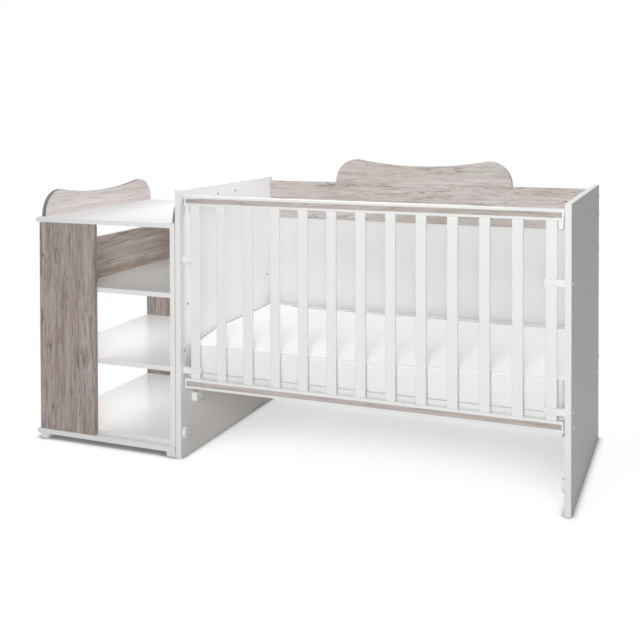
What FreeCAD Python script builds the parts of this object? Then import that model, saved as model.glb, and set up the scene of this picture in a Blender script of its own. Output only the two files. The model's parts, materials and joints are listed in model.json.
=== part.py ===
import FreeCAD, Part
import math
import os
from FreeCAD import Vector

# Crib with a drop side, joined at its left end to an open changing cabinet, in millimetres.
# X runs along the crib, Y from front to rear and Z up. The origin is on the floor, under the whole's middle.

# Room between pieces, and cutting tools
fit = 0.25
running = 0.4
seat = 0.3
overrun = 5.0
edge_radius = 0.8

# End panels of the crib
inner_length = 1200.0
panel_thickness = 18.0
panel_depth = 700.0
panel_height = 860.0

# Back of the crib
back_inset = 2.0
back_rail_thickness = 18.0
back_rail_height = 140.0
back_rail_drop = 15.0
back_panel_thickness = 16.0
back_panel_lift = 215.0

# Wave boards: the headboard and the two guards of the cabinet
headboard_length = 654.0
guard_front_gap = 20.0
guard_rear_gap = 12.0
wave_height = 87.0
wave_side_height = 5.0
wave_valley_depth = 22.0

# Drop side
side_setback = 18.0
side_lift = 224.0
rail_height = 32.0
rail_depth = 22.0
rail_edge_radius = 2.5
top_rail_drop = 18.0
rail_end_gap = 5.0
cap_thickness = 5.0
cap_edge_radius = 1.5
slat_count = 13
slat_width = 32.0
slat_thickness = 10.0
slat_edge_radius = 3.0
slat_end_gap = 23.6
tenon_cover = 1.6
strip_height = 15.0
strip_thickness = 3.0
strip_recess = 0.8

# Latch at each end of the top rail
pin_radius = 4.5
pin_length = 42.0
pin_tip_gap = 0.8
pin_hole_radius = 5.0
latch_travel = 5.0
tab_height = 23.0
tab_depth = 15.0
tab_lap = 1.0
tab_slat_gap = 2.6
tab_edge_radius = 2.0
cap_wall = 1.6
stem_radius = 2.5
peg_radius = 2.0
peg_length = 8.0
peg_drop = 5.5
peg_spacing = 10.0

# Guides, stops and supports on the end panels
guide_height = 20.0
guide_wall = 4.0
guide_edge_radius = 1.8
guide_spare = 12.0
lower_guide_gap = 14.0
guide_bolt_bite = 14.0
stop_radius = 19.0
stop_thickness = 9.0
stop_height = 77.0
stop_edge_radius = 2.5
cleat_width = 17.0
cleat_length = 50.0
cleat_height = 29.0
cleat_inset = 34.0
cleat_edge_radius = 1.5

# Mattress base and mattress
base_height = 196.0
base_side_gap = 3.0
base_front_gap = 2.0
base_rear_gap = 18.0
base_rail_height = 74.0
base_rail_thickness = 18.0
base_rail_lift = 22.0
base_ledge_width = 11.0
base_foot_inset = 54.0
base_slat_count = 12
base_slat_width = 60.0
base_slat_thickness = 10.0
base_slat_radius = 2.0
hook_bolt_radius = 4.0
hook_inset = 10.0
hook_tip_gap = 1.0
hook_height_share = 0.48
corner_screw_share = 0.62
level_rise = 257.0
mattress_end_gap = 5.0
mattress_side_gap = 1.0
mattress_thickness = 106.0
mattress_corner_radius = 26.0
mattress_edge_radius = 14.0

# Spare holes on the inner face of each end panel, measured from its front edge and its top edge
spare_hole_radius = 4.0
spare_pair_front = 259.0
spare_pair_spacing = 131.0
spare_pair_drop = 31.0
spare_guide_height = 342.0

# Cabinet
cabinet_width = 527.0
cabinet_gap = 5.0
cabinet_board = 16.0
side_panel_thickness = 18.0
side_height = 705.0
plate_overhang_left = 10.0
plate_clearance = 2.5
board_inset = 5.0
front_board_width = 222.0
upper_space_height = 212.5
spine_top_gap = 68.5
foot_height = 17.0
foot_width = 35.0
foot_length = 40.0
foot_taper = 4.0

# Fasteners; a blind hole leaves the hole floor at its end
hole_floor = 6.0
bolt_radius = 3.0
bolt_head_radius = 6.0
bolt_head_height = 2.0
bolt_head_rounding = 0.8
bolt_bite = 38.0
socket_sides = 6
socket_radius = 2.0
socket_depth = 2.5
nut_radius = 5.0
nut_length = 12.0
nut_backset = 30.0
rail_bolt_drop = 22.0
rail_bolt_spacing = 61.0
panel_bolt_drop = 60.0
panel_bolt_rise = 68.0
screw_radius = 2.2
screw_head_radius = 4.0
screw_head_height = 2.5
cross_width = 0.9
cross_length = 4.4
cross_depth = 1.5
slat_screw_bite = 12.0
corner_screw_bite = 20.0
stop_screw_share = 0.5
cleat_screw_share = 0.3
dowel_radius = 4.0
dowel_length = 30.0
wave_dowel_shares = (-0.3, 0.0, 0.3)
board_dowel_shares = (0.25, 0.75)
side_dowel_shares = (-0.42, 0.42)
cam_radius = 7.5
cam_cover = 3.5
cam_backset = 24.0
cam_board_shares = (0.2, 0.8)
cam_side_shares = (-0.35, 0.35)
joining_depth_shares = (-0.3, 0.3)
joining_height_shares = (0.2, 0.85)

# Sizes that follow from others
cabinet_depth = panel_depth
guard_length = cabinet_depth - guard_front_gap - guard_rear_gap
panel_bite = panel_thickness - hole_floor
plate_bite = cabinet_board - hole_floor
cam_depth = cabinet_board - cam_cover
tenon_depth = rail_height / 2 - pin_radius - running - tenon_cover
spine_height = upper_space_height - spine_top_gap

# Places along X
overall_length = (plate_overhang_left + cabinet_width + cabinet_gap + panel_thickness + inner_length
                  + panel_thickness + bolt_head_height)
x_boards = plate_overhang_left - overall_length / 2
x_side_outer = x_boards + cabinet_width
x_side_inner = x_side_outer - side_panel_thickness
x_left_outer = x_side_outer + cabinet_gap
x_left = x_left_outer + panel_thickness
x_right = x_left + inner_length
x_middle = (x_left + x_right) / 2
x_rail = (x_left + rail_end_gap + cap_thickness, x_right - rail_end_gap - cap_thickness)
x_slat = x_left + slat_end_gap
slat_pitch = (inner_length - 2 * slat_end_gap - slat_width) / (slat_count - 1)
x_tab = (x_left + rail_end_gap + cap_wall + running, x_slat - tab_slat_gap)
x_stem = (x_tab[0] + x_tab[1]) / 2
x_base = (x_left + base_side_gap, x_right - base_side_gap)
x_base_inner = (x_base[0] + base_rail_thickness, x_base[1] - base_rail_thickness)
x_front_board = (x_boards, x_boards + front_board_width)
x_spine = ((x_front_board[0] + x_front_board[1] - cabinet_board) / 2,
           (x_front_board[0] + x_front_board[1] + cabinet_board) / 2)

# Places along Y
y_front = -panel_depth / 2
y_rear = panel_depth / 2
y_back = y_rear - back_inset
y_rail_face = y_back - back_rail_thickness
y_back_face = y_back - back_panel_thickness
y_side = (y_front + side_setback, y_front + side_setback + rail_depth)
y_slat = (y_side[0] + y_side[1]) / 2
y_base = (y_side[1] + base_front_gap, y_back_face - base_rear_gap)
y_long_rails = (y_base[0] + base_rail_thickness / 2, y_base[1] - base_rail_thickness / 2)
y_ledges = (y_base[0] + base_rail_thickness - base_ledge_width,
            y_base[1] - base_rail_thickness + base_ledge_width)
y_hooks = (y_base[0] + hook_inset, y_base[1] - hook_inset)
y_cleats = (y_base[0] + cleat_inset, y_base[1] - cleat_inset - cleat_length)
y_boards = (board_inset - cabinet_depth / 2, cabinet_depth / 2 - board_inset)
y_shelf = (y_boards[0] + cabinet_board, y_boards[1] - cabinet_board)
y_guards = (guard_front_gap - guard_rear_gap) / 2

# Places along Z
z_back_rail = (panel_height - back_rail_drop - back_rail_height, panel_height - back_rail_drop)
z_top_rail = (panel_height - top_rail_drop - rail_height, panel_height - top_rail_drop)
z_bottom_rail = (side_lift, side_lift + rail_height)
z_pin = (z_top_rail[0] + z_top_rail[1]) / 2
z_tab = z_top_rail[0] - tab_height
drop_travel = side_lift - stop_height - stop_radius - seat
z_upper_guide = z_tab - drop_travel - guide_spare - guide_height
z_lower_guide = z_bottom_rail[1] + lower_guide_gap
z_base = base_height + seat
z_hook = z_base + base_rail_height * hook_height_share
z_base_rail = z_base + base_rail_lift
z_base_top = z_base + base_rail_height
z_base_slat = z_base_top - base_slat_thickness
z_mattress = z_base_top + seat
z_base_plate = (foot_height, foot_height + cabinet_board)
z_sides = (z_base_plate[1], z_base_plate[1] + side_height)
z_top_plate = (z_sides[1], z_sides[1] + cabinet_board)
z_bottom_shelf = (z_sides[0], z_sides[0] + cabinet_board)
z_upper_shelf = (z_sides[1] - upper_space_height - cabinet_board, z_sides[1] - upper_space_height)
z_middle_shelf = ((z_bottom_shelf[1] + z_upper_shelf[0] - cabinet_board) / 2,
                  (z_bottom_shelf[1] + z_upper_shelf[0] + cabinet_board) / 2)

ALONG_X = Vector(1, 0, 0)
ALONG_Y = Vector(0, 1, 0)
UP = Vector(0, 0, 1)


def block(x, y, z, radius=0.0):
    """Box from three pairs of low and high, with all its edges rounded if a radius is given."""
    shape = Part.makeBox(x[1] - x[0], y[1] - y[0], z[1] - z[0], Vector(x[0], y[0], z[0]))
    return shape.makeFillet(radius, shape.Edges) if radius else shape


def board(x, y, z):
    """Flat board with its edges eased."""
    return block(x, y, z, edge_radius)


def bar(corners, y, length):
    """Straight bar along Y with a section of (x, z) corners."""
    outline = [Vector(x, y, z) for x, z in corners]
    return Part.Face(Part.makePolygon(outline + outline[:1])).extrude(ALONG_Y * length)


def rod(start, direction, radius, length):
    return Part.makeCylinder(radius, length, start, direction)


def hole(face, direction, radius, length):
    """Cutter for a round hole that starts at a face and goes along the direction."""
    return rod(face - direction * overrun, direction, radius, length + overrun)


def facing(shape, face, direction):
    """A cutter made upward from the origin, set on a face and turned into the direction."""
    shape.Placement = FreeCAD.Placement(face, FreeCAD.Rotation(UP, direction))
    return shape


def hex_socket(face, direction):
    turns = [2 * math.pi * side / socket_sides for side in range(socket_sides)]
    corners = [Vector(math.cos(turn), math.sin(turn), 0) * socket_radius - UP * overrun for turn in turns]
    prism = Part.Face(Part.makePolygon(corners + corners[:1])).extrude(UP * (overrun + socket_depth))
    return facing(prism, face, direction)


def cross_slot(face, direction):
    arms = []
    for wide, long in ((cross_width, cross_length), (cross_length, cross_width)):
        arm = Part.makeBox(wide, long, overrun + cross_depth, Vector(-wide / 2, -long / 2, -overrun))
        arms.append(facing(arm, face, direction))
    return arms


def bolt(face, direction, radius, length):
    """Bolt with its flat round head on a face, a hex socket in the head and its shank along the direction."""
    head = rod(face, direction * -1, bolt_head_radius, bolt_head_height)
    rim = [edge for edge in head.Edges
           if edge.Closed and edge.Curve.Center.distanceToPoint(face) > bolt_head_height / 2]
    head = head.makeFillet(bolt_head_rounding, rim)
    whole = head.fuse(rod(face, direction, radius, length)).removeSplitter()
    return whole.cut(hex_socket(face - direction * bolt_head_height, direction))


def screw(face, direction, length):
    """Screw whose head lies under a face, flush with it, with a cross slot."""
    under = face + direction * screw_head_height
    head = rod(face, direction, screw_head_radius, screw_head_height)
    whole = head.fuse(rod(under, direction, screw_radius, length - screw_head_height)).removeSplitter()
    return cut(whole, cross_slot(face, direction))


def screw_hole(face, direction, length):
    """Stepped cutter for a screw and its sunk head."""
    return hole(face, direction, screw_head_radius + fit, screw_head_height).fuse(
        hole(face, direction, screw_radius + fit, length))


def other_end(shape):
    """The same piece at the right end of the crib."""
    return shape.mirror(Vector(x_middle, 0, 0), ALONG_X)


def both_ends(shapes):
    return list(shapes) + [other_end(shape) for shape in shapes]


def cut(shape, tools):
    return shape.cut(Part.makeCompound(list(tools)))


def save(name, *solids):
    """One file per node; a node of several alike pieces holds them as separate solids."""
    shape = solids[0] if len(solids) == 1 else Part.makeCompound(list(solids))
    shape.exportStep("parts/" + name + ".step")


# Where each fastener sits at the left end of the crib: (y, z) on the outer face
back_rail_points = [((y_rail_face + y_back) / 2, z_back_rail[1] - rail_bolt_drop),
                    ((y_rail_face + y_back) / 2, z_back_rail[1] - rail_bolt_drop - rail_bolt_spacing)]
back_panel_points = [((y_back_face + y_back) / 2, z_back_rail[0] - panel_bolt_drop),
                     ((y_back_face + y_back) / 2, back_panel_lift + panel_bolt_rise)]
guide_points = [(y_slat, z_upper_guide + guide_height / 2), (y_slat, z_lower_guide + guide_height / 2)]
hook_points = [(y_hooks[0], z_hook), (y_hooks[1], z_hook)]
stop_screw_points = [(y_slat, stop_height - stop_radius * stop_screw_share),
                     (y_slat, stop_height + stop_radius * stop_screw_share)]
cleat_screw_points = [(y + cleat_length / 2 + side * cleat_length * cleat_screw_share,
                       base_height - cleat_height / 2) for y in y_cleats for side in (-1, 1)]
joining_points = [(cabinet_depth * across, z_sides[0] + side_height * up)
                  for across in joining_depth_shares for up in joining_height_shares]


def end_panel():
    """Left end panel with every hole that its right twin has too."""
    tools = []

    def through(points, radius):
        for y, z in points:
            tools.append(hole(Vector(x_left_outer, y, z), ALONG_X, radius, panel_thickness + overrun))

    def blind(points, radius):
        for y, z in points:
            tools.append(hole(Vector(x_left, y, z), ALONG_X * -1, radius, panel_bite))

    through(back_rail_points + back_panel_points + guide_points, bolt_radius + fit)
    through(hook_points, hook_bolt_radius + fit)
    through([(y_slat, z_pin)], pin_hole_radius)
    blind([(y, z + level_rise) for y, z in hook_points], hook_bolt_radius + fit)
    blind(stop_screw_points + cleat_screw_points, screw_radius + fit)
    spare_y = y_front + spare_pair_front
    spare_z = panel_height - spare_pair_drop
    blind([(spare_y, spare_z), (spare_y + spare_pair_spacing, spare_z)], spare_hole_radius)
    blind([(y_slat, spare_guide_height)], spare_hole_radius)
    return cut(board((x_left_outer, x_left), (y_front, y_rear), (0, panel_height)), tools)


def make_end_panels():
    panel = end_panel()
    joining = [hole(Vector(x_left_outer, y, z), ALONG_X, bolt_radius + fit, panel_bite)
               for y, z in joining_points]
    save("left_end_panel", cut(panel, joining))
    save("right_end_panel", other_end(panel))


def wave_board(length, place, through):
    """Board with two round lobes and a shallow valley; place turns along and up into a point."""
    half = length / 2
    lobe_radius = wave_height - wave_side_height
    lobe = half - lobe_radius
    valley = wave_height - wave_valley_depth
    rise = valley - wave_side_height
    valley_radius = (lobe ** 2 + rise ** 2 - lobe_radius ** 2) / (2 * wave_valley_depth)
    meet = math.pi - math.acos(lobe / (lobe_radius + valley_radius))

    def on_lobe(side, angle):
        along = lobe + lobe_radius * math.cos(angle)
        return place(side * along, wave_side_height + lobe_radius * math.sin(angle))

    edges = [Part.LineSegment(place(half, 0), place(half, wave_side_height)),
             Part.Arc(on_lobe(1, 0), on_lobe(1, meet / 2), on_lobe(1, meet)),
             Part.Arc(on_lobe(1, meet), place(0, valley), on_lobe(-1, meet)),
             Part.Arc(on_lobe(-1, meet), on_lobe(-1, meet / 2), on_lobe(-1, 0)),
             Part.LineSegment(place(-half, wave_side_height), place(-half, 0)),
             Part.LineSegment(place(-half, 0), place(half, 0))]
    solid = Part.Face(Part.Wire([edge.toShape() for edge in edges])).extrude(through)
    return solid.makeFillet(edge_radius, solid.Edges)


def make_back():
    nut_depth = (nut_length + back_rail_thickness) / 2
    panel_nut_depth = (nut_length + back_panel_thickness) / 2

    def end_tools(points, depth):
        tools = []
        for y, z in points:
            tools.append(hole(Vector(x_left, y, z), ALONG_X, bolt_radius + fit, bolt_bite))
            tools.append(hole(Vector(x_left + nut_backset, y_back, z), ALONG_Y * -1, nut_radius + fit, depth))
        return both_ends(tools)

    seats = [Vector(x_middle + share * headboard_length, (y_rail_face + y_back) / 2, z_back_rail[1])
             for share in wave_dowel_shares]
    half = dowel_length / 2
    rail = board((x_left, x_right), (y_rail_face, y_back), z_back_rail)
    rail_tools = end_tools(back_rail_points, nut_depth)
    rail_tools += [hole(seat_point, UP * -1, dowel_radius + fit, half + fit) for seat_point in seats]
    save("back_rail", cut(rail, rail_tools))

    panel = board((x_left, x_right), (y_back_face, y_back), (back_panel_lift, z_back_rail[0]))
    save("back_panel", cut(panel, end_tools(back_panel_points, panel_nut_depth)))

    headboard = wave_board(headboard_length,
                           lambda along, up: Vector(x_middle + along, y_rail_face, z_back_rail[1] + up),
                           ALONG_Y * back_rail_thickness)
    sockets = [hole(seat_point, UP, dowel_radius + fit, half + fit) for seat_point in seats]
    save("wave_headboard", cut(headboard, sockets))
    starts = [seat_point - UP * half for seat_point in seats]
    save("headboard_dowels", *[rod(start, UP, dowel_radius, dowel_length) for start in starts])

    points = back_rail_points + back_panel_points
    length = panel_thickness + bolt_bite - seat
    bolts = [bolt(Vector(x_left_outer, y, z), ALONG_X, bolt_radius, length) for y, z in points]
    save("back_bolts", *both_ends(bolts))
    nuts = []
    for y, z in points:
        nut = rod(Vector(x_left + nut_backset, y - nut_length / 2, z), ALONG_Y, nut_radius, nut_length)
        nuts.append(nut.cut(rod(Vector(x_left, y, z), ALONG_X, bolt_radius + fit, nut_backset + bolt_bite)))
    save("barrel_nuts", *both_ends(nuts))


def slat_starts():
    return [x_slat + slat_pitch * number for number in range(slat_count)]


def side_rail(z, tenon_face, inward):
    """Rail of the drop side with its strip groove, its mortises and its peg holes."""
    rail = block(x_rail, y_side, z)
    long_edges = [edge for edge in rail.Edges if edge.Length > rail_height + rail_depth]
    rail = rail.makeFillet(rail_edge_radius, long_edges)
    z_strip = ((z[0] + z[1] - strip_height) / 2 - fit, (z[0] + z[1] + strip_height) / 2 + fit)
    tools = [block((x_rail[0] - overrun, x_rail[1] + overrun),
                   (y_side[0] - overrun, y_side[0] + strip_recess + strip_thickness), z_strip)]
    z_mortise = sorted((tenon_face - inward * overrun, tenon_face + inward * (tenon_depth + fit)))
    y_mortise = (y_slat - slat_thickness / 2 - fit, y_slat + slat_thickness / 2 + fit)
    tools += [block((x - fit, x + slat_width + fit), y_mortise, z_mortise) for x in slat_starts()]
    tools += both_ends([hole(Vector(x_rail[0], y, z[1] - peg_drop), ALONG_X, peg_radius + fit, peg_length)
                        for y in (y_slat - peg_spacing / 2, y_slat + peg_spacing / 2)])
    return cut(rail, tools)


def tab_pocket():
    """Room in rail and cap that the release tab rises into, with the stem's and the pin's bores."""
    top = z_top_rail[0] + tab_lap + latch_travel + running
    pocket = block((x_tab[0] - running, x_tab[1] + running),
                   (y_slat - tab_depth / 2 - running, y_slat + tab_depth / 2 + running), (z_tab, top))
    stem = rod(Vector(x_stem, y_slat, z_tab), UP, stem_radius + running, z_pin - z_tab)
    reach = pin_tip_gap + pin_length + latch_travel + running
    pin = rod(Vector(x_left, y_slat, z_pin), ALONG_X, pin_radius + running, reach)
    return [pocket, stem, pin]


def end_cap(z):
    """Plastic cap on the left end of a rail, with two pegs in the rail."""
    x = (x_left + rail_end_gap, x_rail[0])
    cap = block(x, y_side, z)
    outer = [edge for edge in cap.Edges if max(point.X for point in edge.Vertexes) < x[0] + cap_thickness / 2]
    cap = cap.makeFillet(cap_edge_radius, outer)
    for y in (y_slat - peg_spacing / 2, y_slat + peg_spacing / 2):
        start = Vector(x[0] + cap_thickness / 2, y, z[1] - peg_drop)
        cap = cap.fuse(rod(start, ALONG_X, peg_radius, cap_thickness / 2 + peg_length - fit))
    return cap.removeSplitter()


def make_drop_side():
    save("top_rail", cut(side_rail(z_top_rail, z_top_rail[0], 1), both_ends(tab_pocket())))
    save("bottom_rail", side_rail(z_bottom_rail, z_bottom_rail[1], -1))
    for name, z in (("top_inlay", z_top_rail), ("bottom_inlay", z_bottom_rail)):
        y_strip = y_side[0] + strip_recess
        save(name, block(x_rail, (y_strip, y_strip + strip_thickness),
                         ((z[0] + z[1] - strip_height) / 2, (z[0] + z[1] + strip_height) / 2)))
    slats = []
    for x in slat_starts():
        slat = block((x, x + slat_width), (y_slat - slat_thickness / 2, y_slat + slat_thickness / 2),
                     (z_bottom_rail[1] - tenon_depth, z_top_rail[0] + tenon_depth))
        upright = [edge for edge in slat.Edges if edge.Length > slat_width + slat_thickness]
        slats.append(slat.makeFillet(slat_edge_radius, upright))
    save("drop_side_slats", *slats)
    top_cap = cut(end_cap(z_top_rail), tab_pocket())
    bottom_cap = end_cap(z_bottom_rail)
    save("left_top_cap", top_cap)
    save("right_top_cap", other_end(top_cap))
    save("left_bottom_cap", bottom_cap)
    save("right_bottom_cap", other_end(bottom_cap))


def make_latches():
    z_head = z_top_rail[0] + tab_lap
    tab = block(x_tab, (y_slat - tab_depth / 2, y_slat + tab_depth / 2), (z_tab, z_head), tab_edge_radius)
    tip = z_pin - pin_radius + seat
    root = z_head - tab_edge_radius
    stem = rod(Vector(x_stem, y_slat, root), UP, stem_radius, tip - root)
    trigger = tab.fuse(stem).removeSplitter()
    save("left_release_tab", trigger)
    save("right_release_tab", other_end(trigger))

    # A sloped notch under the pin lets the rising stem push the pin inward by as much as it rises
    x_far = x_stem - stem_radius - latch_travel - running
    x_ramp = x_stem + stem_radius + running
    z_low = z_pin - pin_radius - overrun
    z_high = tip + latch_travel + running
    corners = [(x_far, z_low), (x_ramp + tip - z_low, z_low),
               (x_ramp + tip - z_high, z_high), (x_far, z_high)]
    notch = bar(corners, y_slat - pin_radius - overrun, 2 * (pin_radius + overrun))
    pin = rod(Vector(x_left + pin_tip_gap, y_slat, z_pin), ALONG_X, pin_radius, pin_length).cut(notch)
    save("left_latch_pin", pin)
    save("right_latch_pin", other_end(pin))


def guide(z):
    """Bracket on the left end panel with a loop that the end slat slides through."""
    half = slat_thickness / 2 + running + guide_wall
    y = (y_slat - half, y_slat + half)
    body = block((x_left, x_slat + slat_width + running + guide_wall), y, (z, z + guide_height))
    rounded = [edge for edge in body.Edges if any(point.X > x_left + guide_wall for point in edge.Vertexes)]
    body = body.makeFillet(guide_edge_radius, rounded)
    passage = block((x_slat - running, x_slat + slat_width + running),
                    (y[0] + guide_wall, y[1] - guide_wall), (z - overrun, z + guide_height + overrun))
    bore = hole(Vector(x_left, y_slat, z + guide_height / 2), ALONG_X, bolt_radius + fit, guide_bolt_bite)
    return cut(body, [passage, bore])


def make_panel_fittings():
    for level, z in (("upper", z_upper_guide), ("lower", z_lower_guide)):
        piece = guide(z)
        save("left_" + level + "_guide", piece)
        save("right_" + level + "_guide", other_end(piece))
    bolts = [bolt(Vector(x_left_outer, y, z), ALONG_X, bolt_radius, panel_thickness + guide_bolt_bite - seat)
             for y, z in guide_points]
    save("guide_bolts", *both_ends(bolts))

    disc = rod(Vector(x_left, y_slat, stop_height), ALONG_X, stop_radius, stop_thickness)
    rim = [edge for edge in disc.Edges if edge.Closed and edge.Vertexes[0].X > x_left + stop_thickness / 2]
    disc = disc.makeFillet(stop_edge_radius, rim)
    x_face = x_left + stop_thickness
    length = stop_thickness + panel_bite - seat
    disc = cut(disc, [screw_hole(Vector(x_face, y, z), ALONG_X * -1, stop_thickness + overrun)
                      for y, z in stop_screw_points])
    save("left_stop_disc", disc)
    save("right_stop_disc", other_end(disc))
    screws = [screw(Vector(x_face, y, z), ALONG_X * -1, length) for y, z in stop_screw_points]

    x_face = x_left + cleat_width
    length = cleat_width + panel_bite - seat
    for name, y in zip(("front", "rear"), y_cleats):
        cleat = block((x_left, x_face), (y, y + cleat_length), (base_height - cleat_height, base_height))
        x_half = x_left + cleat_width / 2
        outer = [edge for edge in cleat.Edges if min(point.X for point in edge.Vertexes) > x_half]
        cleat = cleat.makeFillet(cleat_edge_radius, outer)
        cleat = cut(cleat, [screw_hole(Vector(x_face, at, z), ALONG_X * -1, cleat_width + overrun)
                            for at, z in cleat_screw_points])
        save(name + "_left_support", cleat)
        save(name + "_right_support", other_end(cleat))
    screws += [screw(Vector(x_face, y, z), ALONG_X * -1, length) for y, z in cleat_screw_points]
    save("panel_screws", *both_ends(screws))


def make_base():
    hook_length = panel_thickness + base_side_gap + base_rail_thickness - hook_tip_gap
    hooks = [bolt(Vector(x_left_outer, y, z), ALONG_X, hook_bolt_radius, hook_length) for y, z in hook_points]
    save("hook_bolts", *both_ends(hooks))

    # Slots open at the foot of the end rails hang on the hook bolts, and the middle of each rail stands lower
    slot = hook_bolt_radius + running
    z_screw = z_base + base_rail_height * corner_screw_share
    end_rail = board((x_base[0], x_base_inner[0]), y_base, (z_base, z_base_top))
    x_slot = (x_base[0] - overrun, x_base_inner[0] + overrun)
    tools = [block(x_slot, (y - slot, y + slot), (z_base - overrun, z)) for y, z in hook_points]
    tools += [rod(Vector(x_slot[0], y, z), ALONG_X, slot, x_slot[1] - x_slot[0]) for y, z in hook_points]
    tools += [block(x_slot, y, (z_base - overrun, z_base_rail))
              for y in ((y_base[0] - overrun, y_base[0] + base_foot_inset),
                        (y_base[1] - base_foot_inset, y_base[1] + overrun))]
    screw_length = base_rail_thickness + corner_screw_bite
    corners = [Vector(x_base[0], y, z_screw) for y in y_long_rails]
    corner_tools = [screw_hole(corner, ALONG_X, screw_length + seat) for corner in corners]
    end_rail = cut(end_rail, tools + corner_tools)
    save("base_left_rail", end_rail)
    save("base_right_rail", other_end(end_rail))
    save("base_corner_screws", *both_ends([screw(corner, ALONG_X, screw_length) for corner in corners]))

    pitch = (x_base_inner[1] - x_base_inner[0] - base_slat_width) / (base_slat_count - 1)
    starts = [x_base_inner[0] + pitch * number for number in range(base_slat_count)]
    middles = [x + base_slat_width / 2 for x in starts]
    length = base_slat_thickness + slat_screw_bite
    y_screws = (y_ledges[0] + base_ledge_width / 2, y_ledges[1] - base_ledge_width / 2)
    tops = [Vector(x, y, z_base_top) for x in middles for y in y_screws]
    slat_tools = [screw_hole(top, UP * -1, length + seat) for top in tops]
    half = base_rail_thickness / 2
    rebate = block((x_base_inner[0] - overrun, x_base_inner[1] + overrun), y_ledges,
                   (z_base_slat, z_base_top + overrun))
    for name, y in zip(("front", "rear"), y_long_rails):
        rail = board(x_base_inner, (y - half, y + half), (z_base_rail, z_base_top))
        save("base_" + name + "_rail", cut(rail, [rebate] + slat_tools + both_ends(corner_tools)))
    y_slats = (y_ledges[0] + seat, y_ledges[1] - seat)
    z_slat = (z_base_slat, z_base_top)
    slats = [block((x, x + base_slat_width), y_slats, z_slat, base_slat_radius) for x in starts]
    save("base_slats", *[cut(slat, slat_tools) for slat in slats])
    save("base_slat_screws", *[screw(top, UP * -1, length) for top in tops])


def make_mattress():
    x = (x_left + mattress_end_gap, x_right - mattress_end_gap)
    y = (y_base[0] + mattress_side_gap, y_base[1] - mattress_side_gap)
    pad = block(x, y, (z_mattress, z_mattress + mattress_thickness))

    def upright(edge):
        return abs(edge.Vertexes[0].Z - edge.Vertexes[-1].Z) > mattress_thickness / 2

    pad = pad.makeFillet(mattress_corner_radius, [edge for edge in pad.Edges if upright(edge)])
    flat = [edge for edge in pad.Edges if not upright(edge)]
    save("mattress", pad.makeFillet(mattress_edge_radius, flat))


def cabinet_dowels():
    """Dowels as (start, direction): upright ones in the two plates, level ones in the spine's ends."""
    dowels = []
    upright_points = [(x_front_board[0] + front_board_width * share, y)
                      for share in board_dowel_shares
                      for y in (y_boards[0] + cabinet_board / 2, y_boards[1] - cabinet_board / 2)]
    upright_points += [(x_side_outer - side_panel_thickness / 2, (y_boards[1] - y_boards[0]) * share)
                       for share in side_dowel_shares]
    for x, y in upright_points:
        dowels.append((Vector(x, y, z_base_plate[1] - plate_bite), UP))
        dowels.append((Vector(x, y, z_top_plate[0] + plate_bite), UP * -1))
    for x in (x_boards + cabinet_board / 2, x_side_outer - cabinet_board / 2):
        dowels += [(Vector(x, y_guards + guard_length * share, z_top_plate[1] - plate_bite), UP)
                   for share in wave_dowel_shares]
    x = (x_spine[0] + x_spine[1]) / 2
    for share in board_dowel_shares:
        z = z_upper_shelf[1] + spine_height * share
        dowels.append((Vector(x, y_shelf[0] - plate_bite, z), ALONG_Y))
        dowels.append((Vector(x, y_shelf[1] + plate_bite, z), ALONG_Y * -1))
    return dowels


def shelf_cams(z):
    """Cam locks of one shelf as (seat on the shelf's edge, direction into the shelf)."""
    cams = []
    for share in cam_board_shares:
        x = x_front_board[0] + front_board_width * share
        cams.append((Vector(x, y_shelf[0], z), ALONG_Y))
        cams.append((Vector(x, y_shelf[1], z), ALONG_Y * -1))
    for share in cam_side_shares:
        cams.append((Vector(x_side_inner, (y_shelf[1] - y_shelf[0]) * share, z), ALONG_X * -1))
    return cams


def make_cabinet_fasteners():
    """Saves the cabinet's dowels, cams and joining bolts, and gives the cutters for them."""
    dowels = cabinet_dowels()
    sockets = [rod(start - way * fit, way, dowel_radius + fit, dowel_length + 2 * fit)
               for start, way in dowels]
    save("cabinet_dowels", *[rod(start, way, dowel_radius, dowel_length) for start, way in dowels])

    cams = [cam for z in (z_upper_shelf, z_middle_shelf) for cam in shelf_cams((z[0] + z[1]) / 2)]
    bolt_length = plate_bite + cam_backset - cam_radius - fit
    discs = []
    cam_bolts = []
    for place, way in cams:
        foot = place + way * cam_backset - UP * (cabinet_board / 2)
        discs.append(cut(rod(foot, UP, cam_radius, cam_depth), cross_slot(foot, UP)))
        end = place - way * plate_bite
        cam_bolts.append(rod(end, way, bolt_radius, bolt_length))
        sockets.append(hole(foot, UP, cam_radius + fit, cam_depth + fit))
        sockets.append(rod(end - way * fit, way, bolt_radius + fit, bolt_length + cam_radius))
    save("cam_locks", *discs)
    save("cam_bolts", *cam_bolts)

    heads = [Vector(x_side_inner, y, z) for y, z in joining_points]
    length = side_panel_thickness + cabinet_gap + panel_bite - seat
    save("joining_bolts", *[bolt(head, ALONG_X, bolt_radius, length) for head in heads])
    sockets += [hole(head, ALONG_X, bolt_radius + fit, side_panel_thickness + overrun) for head in heads]
    return sockets


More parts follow.
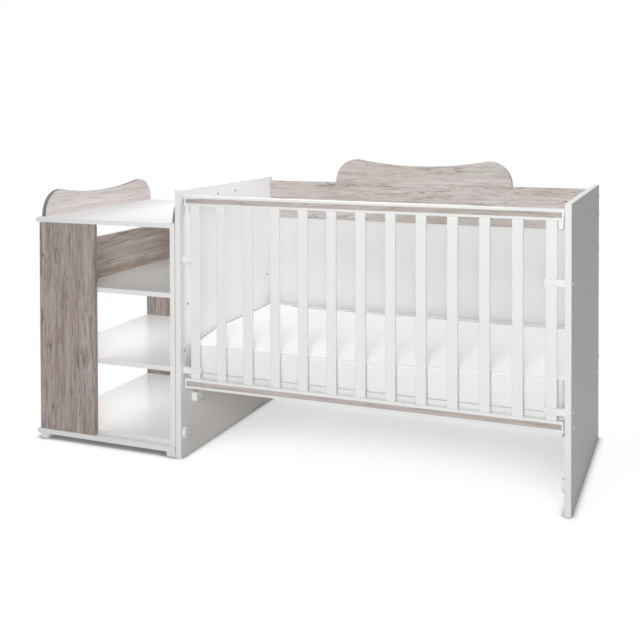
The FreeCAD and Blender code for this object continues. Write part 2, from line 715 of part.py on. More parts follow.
def make_cabinet():
    sockets = make_cabinet_fasteners()
    feet, foot_screws, foot_tools = foot_set()
    x_plate = (x_boards - plate_overhang_left, x_left_outer - plate_clearance)
    y_plate = (-cabinet_depth / 2, cabinet_depth / 2)
    x_shelf = (x_boards, x_side_inner)
    pieces = {
        "cabinet_top": board(x_plate, y_plate, z_top_plate),
        "cabinet_base": cut(board((x_plate[0], x_side_outer), y_plate, z_base_plate), foot_tools),
        "cabinet_side_panel": board((x_side_inner, x_side_outer), y_boards, z_sides),
        "cabinet_front_board": board(x_front_board, (y_boards[0], y_shelf[0]), z_sides),
        "cabinet_rear_board": board(x_front_board, (y_shelf[1], y_boards[1]), z_sides),
        "upper_shelf": board(x_shelf, y_shelf, z_upper_shelf),
        "middle_shelf": board(x_shelf, y_shelf, z_middle_shelf),
        "bottom_shelf": board(x_shelf, y_shelf, z_bottom_shelf),
        "cabinet_spine": board(x_spine, y_shelf, (z_upper_shelf[1], z_upper_shelf[1] + spine_height)),
    }
    for name, x in (("left_wave_guard", x_boards), ("right_wave_guard", x_side_outer - cabinet_board)):
        pieces[name] = wave_board(guard_length,
                                  lambda along, up: Vector(x, y_guards + along, z_top_plate[1] + up),
                                  ALONG_X * cabinet_board)
    for name, piece in pieces.items():
        save(name, cut(piece, sockets))
    save("cabinet_feet", *[cut(foot, foot_tools) for foot in feet])
    save("foot_screws", *foot_screws)


def foot_set():
    """The four feet, their screws, and the cutters for the screws."""
    feet = []
    screws = []
    tools = []
    length = foot_height + plate_bite
    for x_outer, inward in ((x_boards, 1), (x_side_outer, -1)):
        for y_outer, back in ((y_boards[0], 1), (y_boards[1], -1)):
            corners = [(x_outer, 0), (x_outer + inward * (foot_width - foot_taper), 0),
                       (x_outer + inward * foot_width, foot_height), (x_outer, foot_height)]
            feet.append(bar(corners, y_outer, back * foot_length))
            under = Vector(x_outer + inward * foot_width / 2, y_outer + back * foot_length / 2, seat)
            screws.append(screw(under, UP, length))
            tools.append(screw_hole(under, UP, length + seat))
    return feet, screws, tools


os.makedirs("parts", exist_ok=True)
make_end_panels()
make_back()
make_drop_side()
make_latches()
make_panel_fittings()
make_base()
make_mattress()
make_cabinet()
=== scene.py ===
import json
import math

import bmesh
import bpy
from mathutils import Euler, Matrix, Vector


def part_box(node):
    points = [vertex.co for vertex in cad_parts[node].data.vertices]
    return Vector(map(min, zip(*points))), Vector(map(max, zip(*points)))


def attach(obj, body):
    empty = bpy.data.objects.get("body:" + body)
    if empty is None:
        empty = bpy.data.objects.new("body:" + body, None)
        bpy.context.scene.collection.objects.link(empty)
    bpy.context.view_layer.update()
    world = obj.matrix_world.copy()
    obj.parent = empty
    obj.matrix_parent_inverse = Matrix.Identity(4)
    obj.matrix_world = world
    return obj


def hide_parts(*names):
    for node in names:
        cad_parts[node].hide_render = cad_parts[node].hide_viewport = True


# Crib with a drop side and a changing cabinet, dressed for a picture: looks, a stuffed mattress,
# light and camera. Everything is in metres, in the frame of the solids.

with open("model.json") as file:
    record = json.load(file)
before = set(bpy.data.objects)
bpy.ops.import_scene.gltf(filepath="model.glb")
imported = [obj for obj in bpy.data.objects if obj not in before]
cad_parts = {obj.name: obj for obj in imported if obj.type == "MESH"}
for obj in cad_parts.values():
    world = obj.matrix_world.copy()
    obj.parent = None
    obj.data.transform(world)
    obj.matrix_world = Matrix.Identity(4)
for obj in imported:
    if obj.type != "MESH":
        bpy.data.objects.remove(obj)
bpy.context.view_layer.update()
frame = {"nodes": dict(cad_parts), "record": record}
nodes = frame["nodes"]
mattress_low, mattress_high = (Vector(corner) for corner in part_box("mattress"))

# Camera, as the photograph was taken; AXIS_ROW is the row of the picture that its axis meets
PICTURE = 640
SENSOR = 36.0
FOCAL_PIXELS = 967.6
CAMERA_PLACE = (1.2336, -3.0361, 1.1212)
CAMERA_YAW = math.radians(21.93)
CAMERA_PITCH = math.radians(1.056)
CAMERA_ROLL = math.radians(-0.137)
AXIS_ROW = 126

# Square lights: name, place, point aimed at, size, power, spread.
# One near the camera, a small one into the crib, one over it, and large ones at the left and the rear.
ALL_ROUND = math.pi
LIGHTS = (
    ("key_light", (0.85, -3.4, 1.58), (0.1, 0.0, 0.45), 1.2, 69.0, ALL_ROUND),
    ("inner_light", (0.95, 0.20, 1.60), (-0.42, 0.0, 0.84), 0.4, 1.45, math.radians(85)),
    ("top_light", (0.25, 0.1, 2.6), (0.25, 0.1, 0.4), 1.2, 21.0, ALL_ROUND),
    ("left_light", (-3.4, 0.2, 1.6), (-0.6, 0.0, 0.4), 2.0, 58.0, ALL_ROUND),
    ("rear_light", (-1.2, 3.4, 1.5), (-0.3, 0.2, 0.4), 2.0, 68.0, ALL_ROUND),
)
# Soft panels that light the cabinet's bays: the plate each hangs under, and its power.
# BAY_SHARE is their share of the plate's width and depth, and BAY_SPOT where their middle is,
# as shares from the plate's left and front edges.
BAYS = (("cabinet_top", 0.21), ("upper_shelf", 0.27), ("middle_shelf", 0.24))
BAY_SHARE = (0.5, 0.95)
BAY_SPOT = (0.30, 0.50)
BAY_DROP = 0.004
# Light from all round; the background itself shows as plain white
WORLD_POWER = 0.10
BACKGROUND_POWER = 1.0

# Floor, with a wide soft shadow and a narrow one at the feet; stops are a place in a ramp and its level
FLOOR_HALF = 12.0
FLOOR_COLOUR = (0.85, 0.85, 0.85, 1.0)
SHADOW_REACH = 0.9
SHADOW_LEAN = (0.0, -0.8, 0.6)
SHADOW_SAMPLES = 16
SHADOW_STOPS = ((0.30, 0.62), (0.36, 0.73), (0.42, 0.83), (0.48, 0.90), (0.56, 0.96), (0.70, 1.0))
CONTACT_REACH = 0.03
CONTACT_SAMPLES = 8
CONTACT_STOPS = ((0.50, 0.22), (0.62, 0.62), (0.80, 0.90), (1.0, 1.0))

# Stuffed mattress: how far its first form keeps inside the solid, and how finely it is divided
MATTRESS_END_INSET = 0.0005
MATTRESS_SIDE_INSET = 0.002
BOTTOM_LIFT = 0.0005
MATTRESS_CROWN = 0.010
MATTRESS_CORNER = 0.028
CORNER_STEPS = 10
MATTRESS_VOXEL = 0.008
# Upper seam: sag and bulge along the front, lift at the back and the left end
FRONT_SAG = 0.008
FRONT_SAG_REACH = 0.22
FRONT_BULGE = 0.012
FRONT_BULGE_PLACE = 0.65
FRONT_BULGE_WIDTH = 0.20
BACK_LIFT = 0.005
LEFT_LIFT = 0.006
LEFT_LIFT_WIDTH = 0.15
# Cloth that swells it, and the most that a point may move sideways and upwards
CLOTH_FRAMES = 20
CLOTH_PRESSURE = 4.0
CLOTH_STIFFNESS = 0.3
CLOTH_QUALITY = 4
CLOTH_SLACK = 0.005
SIDE_SWELL = 0.0035
TOP_SWELL = 0.010
SEAM_REACH = 0.0065
# Piping on both seams
SEAM_STEP = 0.03
PIPING_RADIUS = 0.0024
PIPING_RESOLUTION = 3
TINY = 1e-12

# Places in a ramp between which a noise mostly lies, and detail of slow and of fine noises
NOISE_SPAN = (0.3, 0.7)
BEND_DETAIL = 2.0
FINE_DETAIL = 2.0

# Finishes. Scales are in waves per metre; a bump is its strength and its distance.
# White laminate: satin and gloss are a roughness and the strength of the orange peel
WHITE = (0.86, 0.86, 0.855)
WHITE_SHADE = 0.985
WHITE_CLOUD = (3.0, 3.0)
WHITE_FLECK_SCALE = 40.0
WHITE_ROUGHER = 1.16
WHITE_SPECULAR = 0.35
PEEL_SCALE = 900.0
PEEL_DISTANCE = 0.0004
SATIN = (0.50, 0.03)
GLOSS = (0.22, 0.004)
GLOSSY_NODES = ("upper_shelf", "middle_shelf", "bottom_shelf")
# Raw board in the holes of the drilled panels, deeper than the laminate's skin, darkened as painted shade in
# the holes
DRILLED_NODES = ("left_end_panel", "right_end_panel")
RAW_CORE_AND_HOLE_SHADE = (0.13, 0.105, 0.085)
LAMINATE_SKIN = 0.0009

# Oak laminate: colours of its grain
OAK_LIGHT = (0.50, 0.43, 0.40)
OAK_MID = (0.39, 0.33, 0.30)
OAK_WARM = (0.33, 0.265, 0.205)
OAK_ROSE = (0.40, 0.335, 0.325)
OAK_ASH = (0.345, 0.335, 0.315)
OAK_DARK = (0.23, 0.18, 0.155)
OAK_LINE = (0.16, 0.125, 0.105)
# Layers of the grain: scale across it and along it, detail and roughness of the noise
BROAD = (30.0, 1.8, 3.0, 0.55)
STREAKS = (150.0, 8.0, 6.0, 0.68)
PORES = (260.0, 20.0, 4.0, 0.65)
CLUSTERS = (24.0, 5.0, 2.0, 0.5)
RINGS = (20.0, 1.5, 3.0, 0.55)
PATCHES = (28.0, 4.0, 2.0, 0.5)
# Stops of their ramps: place and colour, or place and level
BASE_STOPS = ((0.33, OAK_ASH), (0.40, OAK_WARM), (0.47, OAK_MID), (0.55, OAK_ROSE), (0.66, OAK_LIGHT))
DARK_STOPS = ((0.32, 0.65), (0.49, 0.0))
PALE_STOPS = ((0.55, 0.0), (0.70, 0.75))
STROKE_STOPS = ((0.30, 1.0), (0.46, 0.0))
CLUSTER_STOPS = ((0.40, 0.3), (0.58, 1.0))
RING_STOPS = ((0.05, 1.0), (0.30, 0.0))
PATCH_STOPS = ((0.46, 0.0), (0.60, 0.6))
RING_COUNT = 26.0
GRAIN_SWAY = 0.016
GRAIN_SWAY_SCALE = 3.0
GRAIN_PACE = {"X": 1.0, "Y": 0.45, "Z": 1.0}
# Places in the ramp from a board's far side, over its edges, to the side that it shows, where its painted
# light is
FACE_PLACES = (0.05, 0.25, 0.75, 0.95)
OAK_ROUGHNESS = (0.60, 0.48)
OAK_SPECULAR = 0.4
OAK_BUMP = (-0.10, 0.0005)
OAK_SHIFT = 1.37
# Factors of the oak: plain faces, and painted light that makes one side of some boards paler
OAK_GREY = (1.08, 1.08, 1.08)
OAK_PALE_PAINTED_LIGHT = (1.50, 1.62, 1.68)
OAK_BRIGHT_PAINTED_LIGHT = (1.70, 1.85, 1.98)
OAK_SPINE_PAINTED_LIGHT = (1.50, 1.52, 1.50)
OAK_STRIP_PAINTED_LIGHT = (1.35, 1.42, 1.48)
# Oak boards: node, grain axis, side that it shows, painted light there, variety of its colour,
# contrast of the grain, and how much of the painted light its edges have
OAK_BOARDS = (
    ("cabinet_front_board", "Z", "-Y", OAK_GREY, 1.0, 1.4, 0.95),
    ("cabinet_rear_board", "Z", "-Y", OAK_GREY, 1.0, 1.2, 0.95),
    ("cabinet_spine", "Y", "+X", OAK_SPINE_PAINTED_LIGHT, 1.0, 1.2, 0.7),
    ("left_wave_guard", "Y", "+X", OAK_BRIGHT_PAINTED_LIGHT, 0.45, 0.6, 0.35),
    ("right_wave_guard", "Y", "-X", OAK_STRIP_PAINTED_LIGHT, 0.45, 0.6, 0.5),
    ("back_rail", "X", "-Y", OAK_PALE_PAINTED_LIGHT, 0.6, 1.25, 0.6),
    ("wave_headboard", "X", "-Y", OAK_PALE_PAINTED_LIGHT, 0.5, 0.95, 0.45),
    ("top_inlay", "X", "-Y", OAK_STRIP_PAINTED_LIGHT, 0.5, 0.7, 1.0),
    ("bottom_inlay", "X", "-Y", OAK_STRIP_PAINTED_LIGHT, 0.5, 0.7, 1.0),
)

# Bare wood: stretch of its grain, then scale, detail, roughness and distortion of the noise
BARE_WOOD = (0.62, 0.46, 0.30)
WOOD_STRETCH = (2.0, 30.0, 30.0)
WOOD_NOISE = (3.0, 6.0, 0.6, 0.4)
WOOD_SHADES = ((0.35, 0.8), (0.65, 1.15))
WOOD_ROUGHNESS = 0.62
WOOD_BUMP = (0.08, 0.0005)

# White plastic
WHITE_PLASTIC = (0.86, 0.86, 0.85)
PLASTIC_SHADE = 0.97
PLASTIC_CLOUD_SCALE = 25.0
PLASTIC_FLECK_SCALE = 300.0
PLASTIC_ROUGHNESS = (0.40, 0.52)
PLASTIC_GRAIN_SCALE = 1800.0
PLASTIC_BUMP = (0.05, 0.0003)

# Zinc plated steel
ZINC = (0.60, 0.60, 0.61)
ZINC_SHADE = 0.85
ZINC_CLOUD_SCALE = 120.0
ZINC_FLECK_SCALE = 400.0
ZINC_ROUGHNESS = (0.26, 0.42)

# Cover of the mattress and its piping
COVER = (0.885, 0.885, 0.885)
COVER_SHADE = 0.985
COVER_ROUGHNESS = ((0.0, 0.62), (1.0, 0.78))
COVER_SHEEN = 0.25
COVER_SPECULAR = 0.3
SHEEN_ROUGHNESS = 0.4
LEAF_SCALE = 34.0
LEAF_BEND = 0.05
LEAF_BEND_SCALE = 9.0
LEAF_STOPS = ((0.28, 0.0), (0.44, 1.0))
LEAF_BUMP = (0.06, 0.0010)
WEAVE_SCALE = 1500.0
WEAVE_BUMP = (0.10, 0.0004)
TAPE_SHADES = (0.93, 0.99)
TAPE_CLOUD_SCALE = 60.0
TAPE_ROUGHNESS = 0.7
TAPE_SHEEN = 0.2
TAPE_WEAVE_SCALE = 1200.0
TAPE_BUMP = (0.12, 0.0004)


def shade(colour, factor):
    return tuple(channel * factor for channel in colour)


def between(first, second, share):
    return tuple(a + (b - a) * share for a, b in zip(first, second))


def grey(value):
    return (value, value, value)


class Look:
    """One material and its shader nodes."""

    def __init__(self, name):
        self.material = bpy.data.materials.new(name)
        self.material.use_nodes = True
        self.tree = self.material.node_tree
        self.shader = self.tree.nodes["Principled BSDF"]

    def add(self, kind, inputs=None, **settings):
        node = self.tree.nodes.new("ShaderNode" + kind)
        for name, value in settings.items():
            setattr(node, name, value)
        for name, value in (inputs or {}).items():
            self.put(value, node.inputs[name])
        return node

    def put(self, value, socket):
        """Joins an output to a socket, or sets the socket's own value."""
        if isinstance(value, bpy.types.NodeSocket):
            self.tree.links.new(value, socket)
        else:
            socket.default_value = value

    def set(self, **values):
        """Sets inputs of the main shader by their names in small letters."""
        for name, value in values.items():
            self.put(value, self.shader.inputs[name.replace("_", " ").title().replace("Ior", "IOR")])

    def place(self, scale=(1, 1, 1)):
        """Object coordinates in metres, stretched by a scale."""
        spot = self.add("TexCoord").outputs["Object"]
        return self.add("Mapping", {"Vector": spot, "Scale": scale}).outputs["Vector"]

    def noise(self, where, scale, detail=4.0, roughness=0.55, distortion=0.0):
        inputs = {"Vector": where, "Scale": scale, "Detail": detail, "Roughness": roughness,
                  "Distortion": distortion}
        return self.add("TexNoise", inputs).outputs["Fac"]

    def sum(self, kind, operation, *values):
        """Result of a calculation; the values go to its sockets in their order."""
        node = self.add(kind, operation=operation)
        for value, socket in zip(values, node.inputs):
            self.put(value, socket)
        return node.outputs[0]

    def bend(self, where, scale, amount):
        """Coordinates pushed about by a slow noise."""
        push = self.add("TexNoise", {"Vector": where, "Scale": scale, "Detail": BEND_DETAIL})
        return self.sum("VectorMath", "MULTIPLY_ADD", push.outputs["Color"], grey(amount), where)

    def ramp(self, value, stops):
        """Colours at places from 0 to 1."""
        node = self.add("ValToRGB", {"Fac": value})
        points = node.color_ramp.elements
        while len(points) < len(stops):
            points.new(1.0)
        for point, (spot, colour) in zip(points, stops):
            point.position = spot
            point.color = tuple(colour) + (1.0,)
        return node.outputs["Color"]

    def levels(self, value, stops, factor=1.0):
        """Levels of grey at places from 0 to 1, all times a factor."""
        return self.ramp(value, [(spot, grey(level * factor)) for spot, level in stops])

    def vary(self, noise, first, second):
        """From a first to a second level over the values that a noise mostly has."""
        return self.levels(noise, tuple(zip(NOISE_SPAN, (first, second))))

    def mix(self, factor, first, second, blend="MIX"):
        node = self.add("Mix", data_type="RGBA", blend_type=blend)
        self.put(factor, node.inputs["Factor"])
        sockets = (socket for socket in node.inputs if socket.type == "RGBA")
        for value, socket in zip((first, second), sockets):
            self.put(value if isinstance(value, bpy.types.NodeSocket) else tuple(value) + (1.0,), socket)
        return next(socket for socket in node.outputs if socket.type == "RGBA")

    def times(self, first, second):
        return self.mix(1.0, first, second, "MULTIPLY")

    def bump(self, height, strength, distance):
        """Bumps on the surface, over those that it has already."""
        node = self.add("Bump", {"Height": height, "Strength": strength, "Distance": distance})
        normal = self.shader.inputs["Normal"]
        if normal.is_linked:
            self.put(normal.links[0].from_socket, node.inputs["Normal"])
        self.put(node.outputs["Normal"], normal)


def inside_board(look, node):
    """1 in the holes of a board, deeper than its laminate, and 0 on its faces."""
    low, high = (Vector(corner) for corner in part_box(node))
    spot = look.add("TexCoord").outputs["Object"]
    away = look.sum("VectorMath", "SUBTRACT", spot, (low + high) / 2)
    apart = look.sum("VectorMath", "ABSOLUTE", away)
    core = (high - low) / 2 - Vector(grey(LAMINATE_SKIN))
    depth = look.sum("VectorMath", "SUBTRACT", core, apart)
    axes = look.add("SeparateXYZ", {"Vector": depth}).outputs
    least = axes["X"]
    for axis in "YZ":
        least = look.sum("Math", "MINIMUM", least, axes[axis])
    return look.sum("Math", "GREATER_THAN", least, 0.0)


def white_board(name, roughness, peel, drilled=None):
    """White laminate with a faint orange-peel surface; a drilled board shows its raw core in the holes,
    darkened as painted shade.
    """
    look = Look(name)
    where = look.place()
    colour = look.mix(look.noise(where, *WHITE_CLOUD), shade(WHITE, WHITE_SHADE), WHITE)
    if drilled:
        # Painted shade: the raw core in the holes gets a dark colour that stands in for the shade inside
        # them
        colour = look.mix(inside_board(look, drilled), colour, RAW_CORE_AND_HOLE_SHADE)
    flecks = look.noise(where, WHITE_FLECK_SCALE)
    look.set(base_color=colour, roughness=look.vary(flecks, roughness, roughness * WHITE_ROUGHER),
             specular_ior_level=WHITE_SPECULAR)
    look.bump(look.noise(where, PEEL_SCALE, FINE_DETAIL), peel, PEEL_DISTANCE)
    return look.material


def oak(name, along, side, painted_light, variety, contrast, edge, shift):
    """Weathered oak laminate: grain along one axis, painted light on the side it shows and part of it on the
    edges.
    """
    look = Look(name)
    spot = look.add("TexCoord").outputs
    moved = look.add("Mapping", {"Vector": spot["Object"], "Location": (shift, shift, shift)})
    bent = look.bend(moved.outputs["Vector"], GRAIN_SWAY_SCALE, GRAIN_SWAY)

    def grain(across, lengthways, detail, roughness):
        scale = [across, across, across]
        scale["XYZ".index(along)] = lengthways * GRAIN_PACE[along]
        where = look.add("Mapping", {"Vector": bent, "Scale": tuple(scale)})
        return look.noise(where.outputs["Vector"], 1.0, detail, roughness)

    def tone(colour):
        return between(OAK_MID, colour, variety)

    streaks = grain(*STREAKS)
    base = look.ramp(grain(*BROAD), [(place, tone(colour)) for place, colour in BASE_STOPS])
    dark = look.levels(streaks, DARK_STOPS, contrast)
    pale = look.levels(streaks, PALE_STOPS, contrast)
    strokes = look.levels(grain(*PORES), STROKE_STOPS, contrast)
    lines = look.times(strokes, look.levels(grain(*CLUSTERS), CLUSTER_STOPS))
    rings = look.sum("Math", "MULTIPLY", grain(*RINGS), RING_COUNT)
    saw = look.sum("Math", "PINGPONG", rings, 1.0)
    patches = look.levels(grain(*PATCHES), PATCH_STOPS, contrast)
    veins = look.times(look.levels(saw, RING_STOPS), patches)
    colour = look.mix(dark, base, OAK_DARK)
    colour = look.mix(pale, colour, tone(OAK_LIGHT))
    colour = look.mix(lines, colour, OAK_LINE)
    colour = look.mix(veins, colour, OAK_LINE)
    sign, axis = side
    facing = look.add("SeparateXYZ", {"Vector": spot["Normal"]}).outputs[axis]
    span = {"From Min": -1.0, "From Max": 1.0, "To Min": float(sign == "-"), "To Max": float(sign == "+")}
    painted_side = look.add("MapRange", {"Value": facing, **span}).outputs["Result"]
    # Painted light: the side a board shows gets its factor, its edges a part of it, and its far side stays
    # plain
    rim_painted_light = shade(painted_light, edge)
    painted_light_ramp = look.ramp(painted_side, tuple(zip(FACE_PLACES, (OAK_GREY, rim_painted_light, rim_painted_light, painted_light))))
    look.set(base_color=look.times(colour, painted_light_ramp), roughness=look.vary(streaks, *OAK_ROUGHNESS),
             specular_ior_level=OAK_SPECULAR)
    look.bump(lines, *OAK_BUMP)
    return look.material


def bare_wood():
    """Sanded pale wood."""
    look = Look("bare_wood")
    rings = look.noise(look.place(WOOD_STRETCH), *WOOD_NOISE)
    stops = [(place, shade(BARE_WOOD, factor)) for place, factor in WOOD_SHADES]
    look.set(base_color=look.ramp(rings, stops), roughness=WOOD_ROUGHNESS)
    look.bump(rings, *WOOD_BUMP)
    return look.material


def white_plastic():
    """Moulded white plastic with a fine matt texture."""
    look = Look("white_plastic")
    where = look.place()
    cloud = look.noise(where, PLASTIC_CLOUD_SCALE)
    flecks = look.noise(where, PLASTIC_FLECK_SCALE)
    look.set(base_color=look.mix(cloud, shade(WHITE_PLASTIC, PLASTIC_SHADE), WHITE_PLASTIC),
             roughness=look.vary(flecks, *PLASTIC_ROUGHNESS))
    look.bump(look.noise(where, PLASTIC_GRAIN_SCALE, FINE_DETAIL), *PLASTIC_BUMP)
    return look.material


def zinc():
    """Zinc plated steel of the fasteners."""
    look = Look("zinc_steel")
    where = look.place()
    cloud = look.noise(where, ZINC_CLOUD_SCALE)
    flecks = look.noise(where, ZINC_FLECK_SCALE)
    look.set(base_color=look.mix(cloud, shade(ZINC, ZINC_SHADE), ZINC), metallic=1.0,
             roughness=look.vary(flecks, *ZINC_ROUGHNESS))
    return look.material


def mattress_cover():
    """White woven cover with a faint leaf-like damask, a fine weave and a soft sheen."""
    look = Look("mattress_cover")
    where = look.place()
    bent = look.bend(where, LEAF_BEND_SCALE, LEAF_BEND)
    leaves = look.add("TexVoronoi", {"Vector": bent, "Scale": LEAF_SCALE}, feature="SMOOTH_F1")
    damask = look.levels(leaves.outputs["Distance"], LEAF_STOPS)
    look.set(base_color=look.mix(damask, shade(COVER, COVER_SHADE), COVER),
             roughness=look.levels(damask, COVER_ROUGHNESS), sheen_weight=COVER_SHEEN,
             sheen_roughness=SHEEN_ROUGHNESS, specular_ior_level=COVER_SPECULAR)
    look.bump(look.noise(where, WEAVE_SCALE, FINE_DETAIL), *WEAVE_BUMP)
    look.bump(damask, *LEAF_BUMP)
    return look.material


def piping_cloth():
    """Smooth woven tape round the seams of the mattress."""
    look = Look("piping_cloth")
    where = look.place()
    cloud = look.noise(where, TAPE_CLOUD_SCALE)
    look.set(base_color=look.mix(cloud, *(shade(COVER, factor) for factor in TAPE_SHADES)),
             roughness=TAPE_ROUGHNESS, sheen_weight=TAPE_SHEEN, sheen_roughness=SHEEN_ROUGHNESS)
    look.bump(look.noise(where, TAPE_WEAVE_SCALE, FINE_DETAIL), *TAPE_BUMP)
    return look.material


def round_outline(low, high, radius):
    """Points of a rectangle with round corners, counter-clockwise from the right front corner."""
    centres = ((high[0] - radius, low[1] + radius), (high[0] - radius, high[1] - radius),
               (low[0] + radius, high[1] - radius), (low[0] + radius, low[1] + radius))
    points = []
    for turn, (x, y) in enumerate(centres):
        for step in range(CORNER_STEPS + 1):
            angle = math.pi / 2 * (turn - 1 + step / CORNER_STEPS)
            points.append((x + radius * math.cos(angle), y + radius * math.sin(angle)))
    return points


def seam_height(x, y):
    """Height of the upper seam, and of the pad's top before it swells.

    It sags along the front, apart from a bulge, and lifts at the back and the left end.
    """
    away = min((y - mattress_low.y) / FRONT_SAG_REACH, 1.0)
    front = 1.0 - away * away * (3.0 - 2.0 * away)
    bulge = FRONT_BULGE * math.exp(-((x - FRONT_BULGE_PLACE) / FRONT_BULGE_WIDTH) ** 2)
    lift = BACK_LIFT + LEFT_LIFT * math.exp(-((x - mattress_low.x) / LEFT_LIFT_WIDTH) ** 2)
    return mattress_high.z - MATTRESS_CROWN + front * (bulge - FRONT_SAG) + (1.0 - front) * lift


def mattress_form(outline, bottom, top):
    """Closed flat slab on an outline."""
    form = bmesh.new()
    lower = [form.verts.new((x, y, bottom)) for x, y in outline]
    upper = [form.verts.new((x, y, top)) for x, y in outline]
    count = len(outline)
    for number in range(count):
        after = (number + 1) % count
        form.faces.new((lower[number], lower[after], upper[after], upper[number]))
    form.faces.new(list(reversed(lower)))
    form.faces.new(upper)
    bmesh.ops.recalc_face_normals(form, faces=form.faces)
    mesh = bpy.data.meshes.new("mattress_form")
    form.to_mesh(mesh)
    form.free()
    piece = bpy.data.objects.new("mattress_pad", mesh)
    bpy.context.collection.objects.link(piece)
    return piece


def apply_all(piece):
    """Gives a piece the mesh that its modifiers make, and takes them off."""
    graph = bpy.context.evaluated_depsgraph_get()
    mesh = bpy.data.meshes.new_from_object(piece.evaluated_get(graph))
    piece.modifiers.clear()
    piece.data = mesh


def eased(move, most):
    """A move that levels off smoothly towards a cap."""
    return most * math.tanh(move / most)


def closest(point, first, second):
    """Nearest point of a straight run."""
    run = second - first
    share = (point - first).dot(run) / max(run.length_squared, TINY)
    return first + run * min(max(share, 0.0), 1.0)


def stuff(piece, outline, bottom):
    """Swells the pad like a stuffed cover held by its seams: cloth with pressure, its moves capped."""
    seam = piece.vertex_groups.new(name="seam")
    edge = [Vector(point) for point in outline]
    edge.append(edge[0])
    for vertex in piece.data.vertices:
        flat = Vector(vertex.co[:2])
        at_side = min((flat - closest(flat, a, b)).length for a, b in zip(edge, edge[1:])) < SEAM_REACH
        near_top = abs(vertex.co.z - seam_height(*flat)) < SEAM_REACH
        if vertex.co.z < bottom + SEAM_REACH or (at_side and near_top):
            seam.add([vertex.index], 1.0, "REPLACE")
    start = [vertex.co.copy() for vertex in piece.data.vertices]
    cloth = piece.modifiers.new("cloth", "CLOTH")
    cloth.settings.use_pressure = True
    cloth.settings.uniform_pressure_force = CLOTH_PRESSURE
    cloth.settings.effector_weights.gravity = 0.0
    cloth.settings.vertex_group_mass = "seam"
    cloth.settings.shrink_min = -CLOTH_SLACK
    cloth.settings.bending_stiffness = CLOTH_STIFFNESS
    cloth.settings.quality = CLOTH_QUALITY
    cloth.point_cache.frame_start = 1
    cloth.point_cache.frame_end = CLOTH_FRAMES
    for number in range(1, CLOTH_FRAMES + 1):
        bpy.context.scene.frame_set(number)
    apply_all(piece)
    bpy.context.scene.frame_set(1)
    for vertex, before in zip(piece.data.vertices, start):
        move = vertex.co - before
        vertex.co = before + Vector((eased(move.x, SIDE_SWELL), eased(move.y, SIDE_SWELL),
                                     eased(move.z, TOP_SWELL)))


def seam_line(outline):
    """The outline with points closer together on its long runs."""
    points = []
    for first, second in zip(outline, outline[1:] + outline[:1]):
        steps = max(1, round(math.dist(first, second) / SEAM_STEP))
        points += [between(first, second, number / steps) for number in range(steps)]
    return points


def make_piping(name, line, tape):
    """Round tape along a seam."""
    curve = bpy.data.curves.new(name, "CURVE")
    curve.dimensions = "3D"
    spline = curve.splines.new("POLY")
    spline.points.add(len(line) - 1)
    for point, place in zip(spline.points, line):
        point.co = (*place, 1.0)
    spline.use_cyclic_u = True
    curve.bevel_depth = PIPING_RADIUS
    curve.bevel_resolution = PIPING_RESOLUTION
    curve.materials.append(tape)
    piece = bpy.data.objects.new(name, curve)
    bpy.context.collection.objects.link(piece)
    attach(piece, "mattress_base")


def make_mattress():
    """Stuffed pad in place of the mattress's solid, with piping on both seams."""
    inset = Vector((MATTRESS_END_INSET, MATTRESS_SIDE_INSET))
    outline = round_outline(mattress_low.xy + inset, mattress_high.xy - inset, MATTRESS_CORNER)
    bottom = mattress_low.z + BOTTOM_LIFT
    top = mattress_high.z - MATTRESS_CROWN
    piece = mattress_form(outline, bottom, top)
    remesh = piece.modifiers.new("remesh", "REMESH")
    remesh.mode = "VOXEL"
    remesh.voxel_size = MATTRESS_VOXEL
    apply_all(piece)
    for vertex in piece.data.vertices:
        share = (vertex.co.z - bottom) / (top - bottom)
        vertex.co.z = bottom + share * (seam_height(vertex.co.x, vertex.co.y) - bottom)
    stuff(piece, outline, bottom)
    smooth = piece.modifiers.new("smooth", "SUBSURF")
    smooth.levels = 1
    smooth.render_levels = 1
    apply_all(piece)
    for polygon in piece.data.polygons:
        polygon.use_smooth = True
    piece.data.materials.clear()
    piece.data.materials.append(mattress_cover())
    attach(piece, "mattress_base")
    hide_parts("mattress")
    tape = piping_cloth()
    upper = [(x, y, seam_height(x, y)) for x, y in seam_line(outline)]
    lower = [(x, y, bottom + PIPING_RADIUS) for x, y in outline]
    make_piping("mattress_top_piping", upper, tape)
    make_piping("mattress_bottom_piping", lower, tape)


def finish_nodes():
    """Gives every solid its finish; shelves, oak boards and drilled panels get their own."""
    by_slot = {"white_board": white_board("white_laminate", *SATIN), "white_plastic": white_plastic(),
               "steel": zinc(), "plain_wood": bare_wood()}
    gloss = white_board("shelf_laminate", *GLOSS)
    own = {node: gloss for node in GLOSSY_NODES}
    for node in DRILLED_NODES:
        own[node] = white_board("drilled_" + node, *SATIN, node)
    for number, (node, *kind) in enumerate(OAK_BOARDS):
        own[node] = oak("oak_" + node, *kind, shift=number * OAK_SHIFT)
    for entry in frame["record"]["subparts"]:
        node = entry["node"]
        material = own.get(node) or by_slot.get(entry["material_slot"])
        if material:
            nodes[node].data.materials.clear()
            nodes[node].data.materials.append(material)


def area_light(name, place, aim, size, power, spread):
    """Soft light at a place, aimed at a point; its size is a width and a depth."""
    data = bpy.data.lights.new(name, "AREA")
    data.shape = "RECTANGLE"
    data.size, data.size_y = size
    data.energy = power
    data.spread = spread
    lamp = bpy.data.objects.new(name, data)
    lamp.location = place
    lamp.rotation_euler = (Vector(aim) - Vector(place)).to_track_quat("-Z", "Y").to_euler()
    bpy.context.collection.objects.link(lamp)


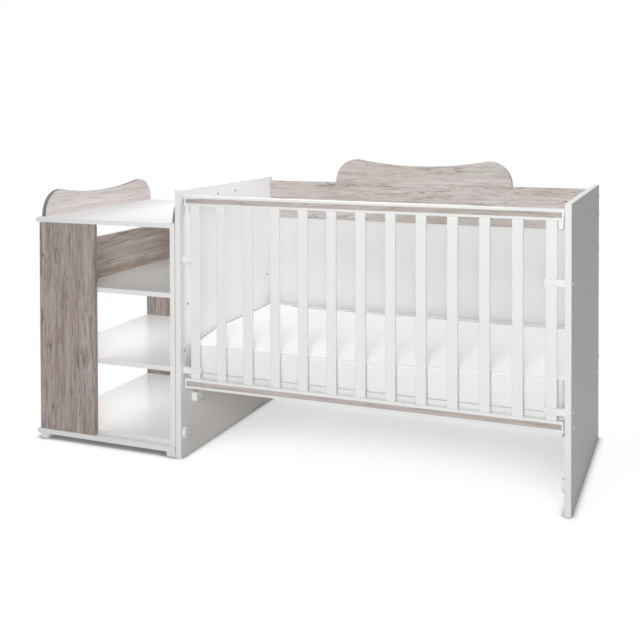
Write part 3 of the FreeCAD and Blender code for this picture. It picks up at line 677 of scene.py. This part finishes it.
def make_light():
    for name, place, aim, size, power, spread in LIGHTS:
        area_light(name, place, aim, (size, size), power, spread)
    for plate, power in BAYS:
        low, high = (Vector(corner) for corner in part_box(plate))
        width, depth = high.x - low.x, high.y - low.y
        x, y = low.x + width * BAY_SPOT[0], low.y + depth * BAY_SPOT[1]
        size = (width * BAY_SHARE[0], depth * BAY_SHARE[1])
        area_light("bay_light_" + plate, (x, y, low.z - BAY_DROP), (x, y, 0.0), size, power, ALL_ROUND)


def background_rays(tree):
    """1 for rays that show the background: from the camera, off gloss or through glass."""
    path = tree.nodes.new("ShaderNodeLightPath")
    total = path.outputs["Is Camera Ray"]
    for name in ("Is Glossy Ray", "Is Transmission Ray"):
        highest = tree.nodes.new("ShaderNodeMath")
        highest.operation = "MAXIMUM"
        tree.links.new(total, highest.inputs[0])
        tree.links.new(path.outputs[name], highest.inputs[1])
        total = highest.outputs["Value"]
    return total


def make_world():
    """Plain white background that gives only a little light."""
    world = bpy.data.worlds.new("studio")
    bpy.context.scene.world = world
    world.use_nodes = True
    tree = world.node_tree
    back = tree.nodes["Background"]
    strength = tree.nodes.new("ShaderNodeMapRange")
    tree.links.new(background_rays(tree), strength.inputs["Value"])
    strength.inputs["To Min"].default_value = WORLD_POWER
    strength.inputs["To Max"].default_value = BACKGROUND_POWER
    back.inputs["Color"].default_value = (1, 1, 1, 1)
    tree.links.new(strength.outputs["Result"], back.inputs["Strength"])


def make_floor():
    """Wide white floor with the object's soft shadow; it lights the object as a plain white board would."""
    half = FLOOR_HALF
    corners = [(-half, -half, 0), (half, -half, 0), (half, half, 0), (-half, half, 0)]
    mesh = bpy.data.meshes.new("floor")
    mesh.from_pydata(corners, [], [(0, 1, 2, 3)])
    floor = bpy.data.objects.new("floor", mesh)
    bpy.context.collection.objects.link(floor)
    look = Look("studio_floor")
    tree = look.tree
    tree.nodes.remove(look.shader)
    diffuse = look.add("BsdfDiffuse", {"Color": FLOOR_COLOUR})
    lean = look.add("CombineXYZ", dict(zip("XYZ", SHADOW_LEAN))).outputs["Vector"]
    wide = look.add("AmbientOcclusion", {"Distance": SHADOW_REACH, "Normal": lean}, samples=SHADOW_SAMPLES)
    near = look.add("AmbientOcclusion", {"Distance": CONTACT_REACH}, samples=CONTACT_SAMPLES)
    soft = look.levels(wide.outputs["AO"], SHADOW_STOPS)
    contact = look.levels(near.outputs["AO"], CONTACT_STOPS)
    glow = look.add("Emission", {"Color": look.times(soft, contact)})
    blend = look.add("MixShader", {"Fac": background_rays(tree)})
    tree.links.new(diffuse.outputs["BSDF"], blend.inputs[1])
    tree.links.new(glow.outputs["Emission"], blend.inputs[2])
    tree.links.new(blend.outputs["Shader"], tree.nodes["Material Output"].inputs["Surface"])
    mesh.materials.append(look.material)


def make_camera():
    data = bpy.data.cameras.new("camera")
    data.sensor_width = SENSOR
    data.lens = FOCAL_PIXELS / PICTURE * SENSOR
    data.shift_y = (AXIS_ROW - PICTURE / 2) / PICTURE
    camera = bpy.data.objects.new("camera", data)
    camera.location = CAMERA_PLACE
    level = Euler((math.pi / 2 - CAMERA_PITCH, 0, CAMERA_YAW)).to_matrix()
    camera.rotation_euler = (level @ Matrix.Rotation(CAMERA_ROLL, 3, "Z")).to_euler()
    bpy.context.collection.objects.link(camera)
    bpy.context.scene.camera = camera


make_camera()
finish_nodes()
make_mattress()
make_light()
make_world()
make_floor()
bpy.context.scene.view_settings.view_transform = "Standard"
